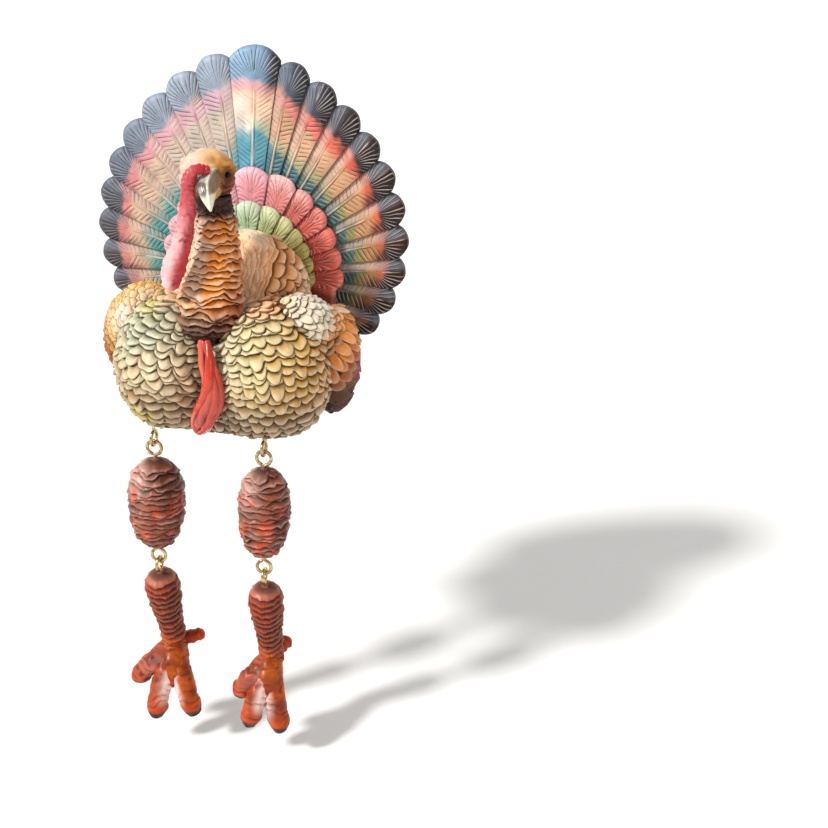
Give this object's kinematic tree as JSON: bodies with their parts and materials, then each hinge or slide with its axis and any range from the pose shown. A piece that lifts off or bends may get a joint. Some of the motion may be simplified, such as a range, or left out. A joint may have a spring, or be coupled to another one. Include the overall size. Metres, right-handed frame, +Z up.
{
  "type": "hanging-leg turkey shelf ornament",
  "caption": "Painted resin turkey that sits on a shelf edge, with a flat fanned tail behind it and two jointed legs that hang and swing from small screw eyes.",
  "frame": {"origin": "on the flat underside of the body, which rests on a shelf, behind the breast", "axes": "+Z up, -Y to the front where the bird looks, +X to the viewer's right"},
  "size_m": [0.1346, 0.0757, 0.28],
  "materials": {
    "tail": "hand-painted resin, satin",
    "coverts_red": "hand-painted resin, satin",
    "coverts_green": "hand-painted resin, satin",
    "breast": "hand-painted resin with dark wash in the recesses",
    "neck": "hand-painted resin with dark wash in the recesses",
    "wing": "hand-painted resin, satin",
    "beak": "ivory paint",
    "wattle": "crimson paint",
    "beard": "glossy red paint",
    "leg": "orange-red paint over brown",
    "brass": "brass-plated wire"
  },
  "bodies": {
    "bird": {"tail_fan": "tail", "coverts_outer": "coverts_red", "coverts_inner": "coverts_green", "body": "breast", "neck": "neck", "head": "neck", "beak": "beak", "snood": "wattle", "beard": "beard", "wing_left": "wing", "wing_right": "wing", "hip_eye_left": "brass", "hip_eye_right": "brass"},
    "leg_left": {"thigh_left": "leg", "thigh_top_eye_left": "brass", "thigh_bottom_eye_left": "brass"},
    "lower_leg_left": {"foot_left": "leg", "foot_eye_left": "brass"},
    "leg_right": {"thigh_right": "leg", "thigh_top_eye_right": "brass", "thigh_bottom_eye_right": "brass"},
    "lower_leg_right": {"foot_right": "leg", "foot_eye_right": "brass"}
  },
  "joints": [
    {"name": "hip_swing_left", "type": "hinge", "parent": "bird", "child": "leg_left", "pos_m": [-0.0238, -0.0345, -0.00724], "axis": [-1, 0, 0], "range_deg": [-60, 75]},
    {"name": "knee_swing_left", "type": "hinge", "parent": "leg_left", "child": "lower_leg_left", "pos_m": [-0.0238, -0.0345, -0.0628], "axis": [-1, 0, 0], "range_deg": [-40, 50]},
    {"name": "hip_swing_right", "type": "hinge", "parent": "bird", "child": "leg_right", "pos_m": [0.0222, -0.0345, -0.00644], "axis": [-1, 0, 0], "range_deg": [-60, 75]},
    {"name": "knee_swing_right", "type": "hinge", "parent": "leg_right", "child": "lower_leg_right", "pos_m": [0.0222, -0.0345, -0.0623], "axis": [-1, 0, 0], "range_deg": [-40, 50]}
  ]
}
